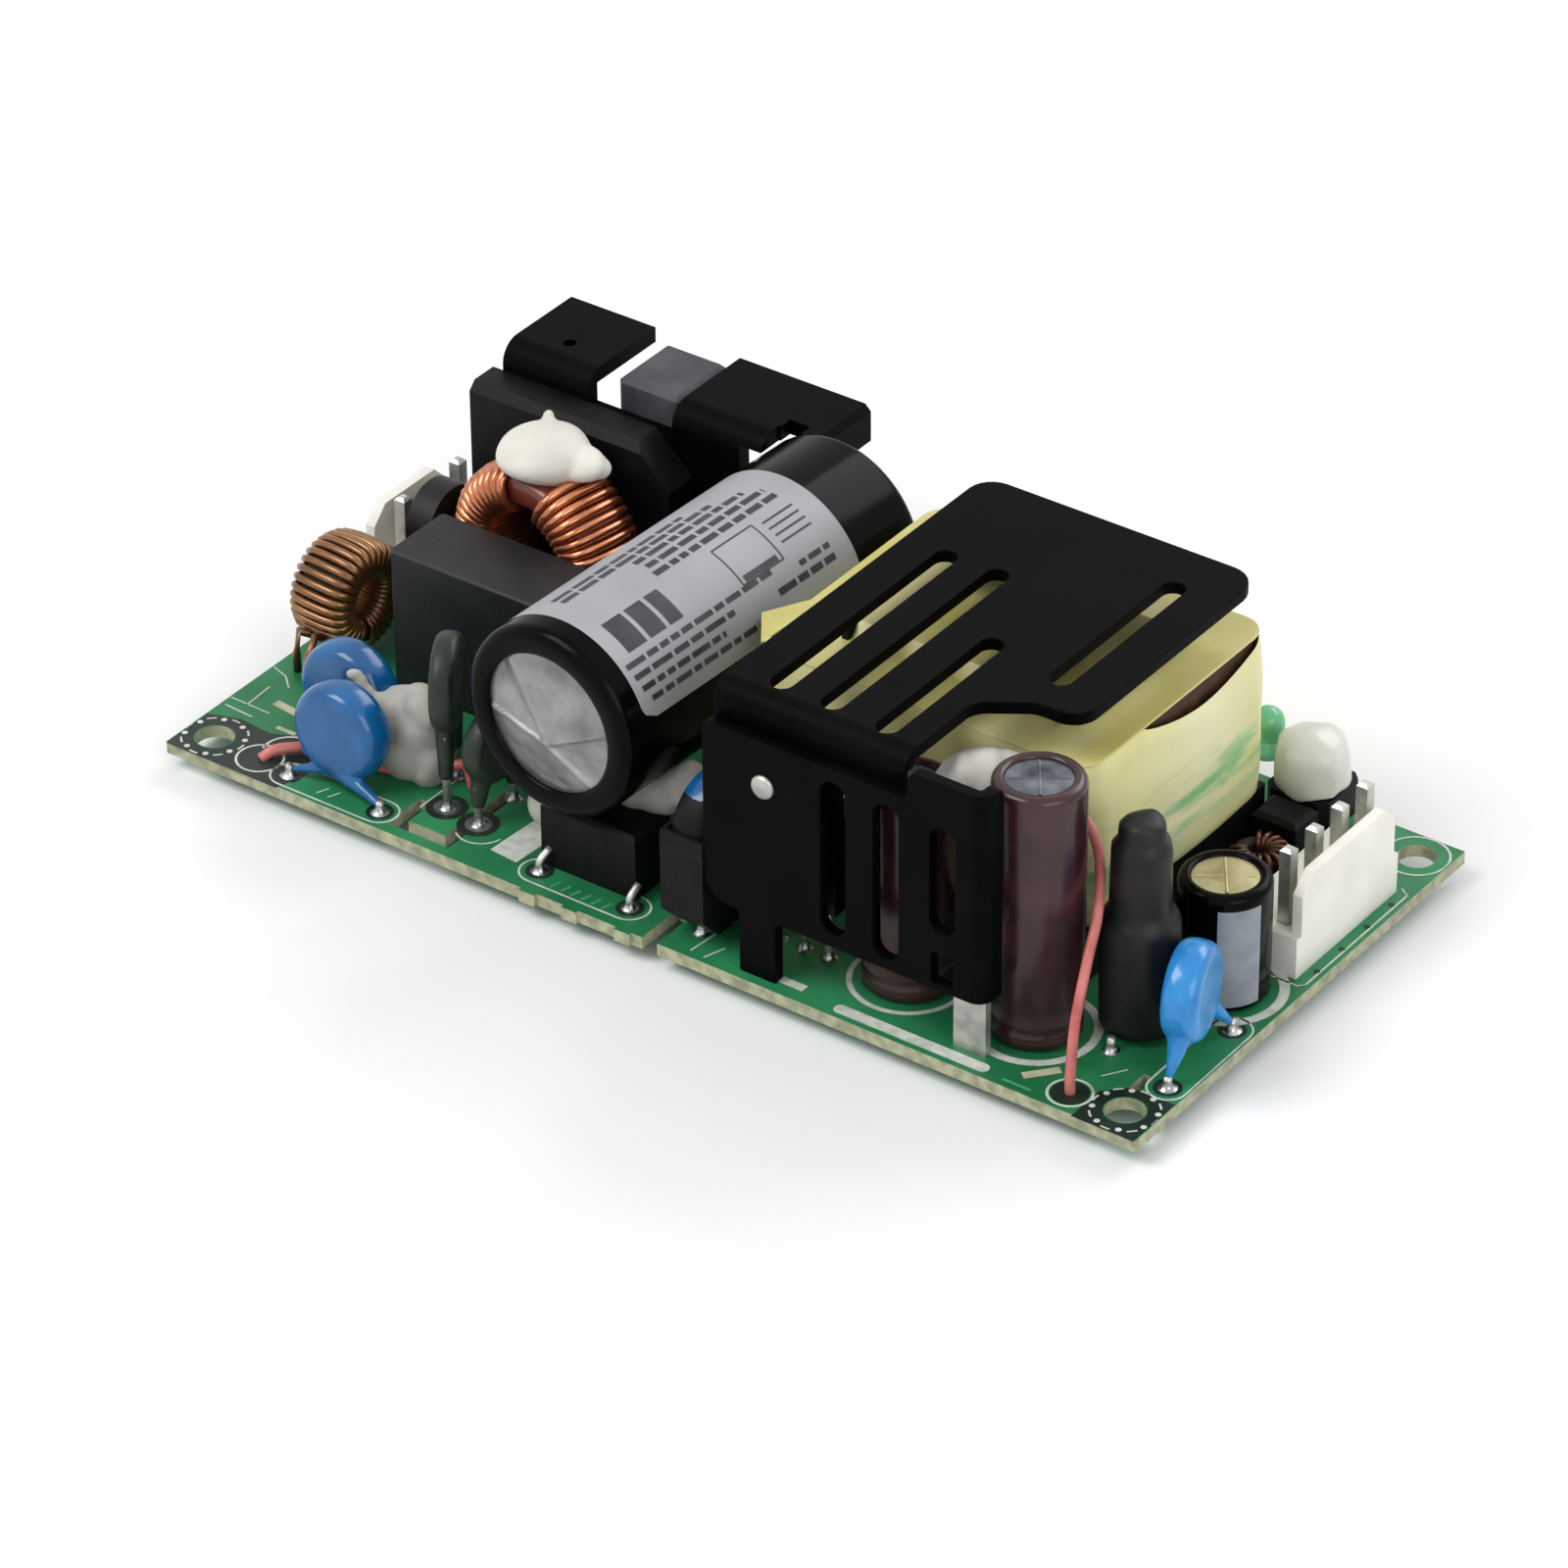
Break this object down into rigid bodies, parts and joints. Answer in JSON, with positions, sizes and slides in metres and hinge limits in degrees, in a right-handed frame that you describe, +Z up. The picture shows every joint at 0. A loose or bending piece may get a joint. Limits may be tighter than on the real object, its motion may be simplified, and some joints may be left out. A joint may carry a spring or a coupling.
{
  "type": "power supply",
  "caption": "Open-frame power supply: a long circuit board with upright parts, a lying bulk capacitor, slotted black heatsinks, a taped transformer and a pin header at each end",
  "frame": {"origin": "centre of the four corner holes, on the underside of the board", "axes": "+X along the board to the output header, +Y to its rear edge, +Z up away from the solder side"},
  "size_m": [0.1016, 0.0512, 0.0294],
  "materials": {
    "bare_aluminium": "satin",
    "black_anodised": "satin",
    "black_sleeve": "gloss",
    "blue_coating": "satin",
    "board": "satin",
    "brown_sleeve": "gloss",
    "ceramic_chip": "matte",
    "choke_core_paint": "satin",
    "dark_moulding": "matte",
    "ferrite": "matte",
    "green_coating": "satin",
    "green_lens": "gloss",
    "grey_rubber": "matte",
    "header_plastic": "matte",
    "milky_sealant": "satin",
    "red_insulation": "satin",
    "ring_core": "matte",
    "sealant": "matte",
    "shrink_sleeve": "satin",
    "solder": "satin",
    "tinned": "satin",
    "wound_wire": "gloss",
    "yellow_tape": "satin"
  },
  "bodies": {
    "root": {"bridge_rectifier": "dark_moulding", "bulk_capacitor_can": "bare_aluminium", "bulk_capacitor_leads": "tinned", "bulk_capacitor_sleeve": "black_sleeve", "bulk_sealant": "sealant", "chip_resistors": "ceramic_chip", "choke_core": "choke_core_paint", "choke_sealant": "sealant", "choke_windings": "wound_wire", "circuit_board": "board", "component_leads": "tinned", "control_chip": "dark_moulding", "control_chip_leads": "tinned", "disc_capacitor_sleeve": "shrink_sleeve", "film_capacitor": "dark_moulding", "front_heatsink": "black_anodised", "heatsink_foot": "tinned", "heatsink_rivet": "bare_aluminium", "input_fuse": "shrink_sleeve", "input_header_housing": "header_plastic", "input_header_pins": "tinned", "input_inductor_core": "ring_core", "input_inductor_winding": "wound_wire", "left_sealant": "sealant", "line_capacitor": "dark_moulding", "optocoupler": "dark_moulding", "output_capacitor_1": "brown_sleeve", "output_capacitor_2": "brown_sleeve", "output_header_housing": "header_plastic", "output_header_pins": "tinned", "output_inductor_core": "ring_core", "output_inductor_winding": "wound_wire", "output_rectifier": "dark_moulding", "output_sealant": "sealant", "power_transistor": "dark_moulding", "rear_heatsink": "black_anodised", "red_jumper_wire": "red_insulation", "red_output_wire": "red_insulation", "rod_inductor": "shrink_sleeve", "sleeved_disc_capacitor": "blue_coating", "small_capacitor": "black_sleeve", "solder_joints": "solder", "status_led": "green_lens", "thermistor_1": "green_coating", "thermistor_2": "green_coating", "top_heatsink": "black_anodised", "transformer_bobbin": "dark_moulding", "transformer_core": "ferrite", "transformer_pins": "tinned", "transformer_tape": "yellow_tape", "transformer_winding": "yellow_tape", "transistor_cap": "grey_rubber", "trimmer": "dark_moulding", "trimmer_sealant": "milky_sealant", "y_capacitor_front": "blue_coating", "y_capacitor_output": "blue_coating", "y_capacitor_rear": "blue_coating"}
  },
  "joints": []
}
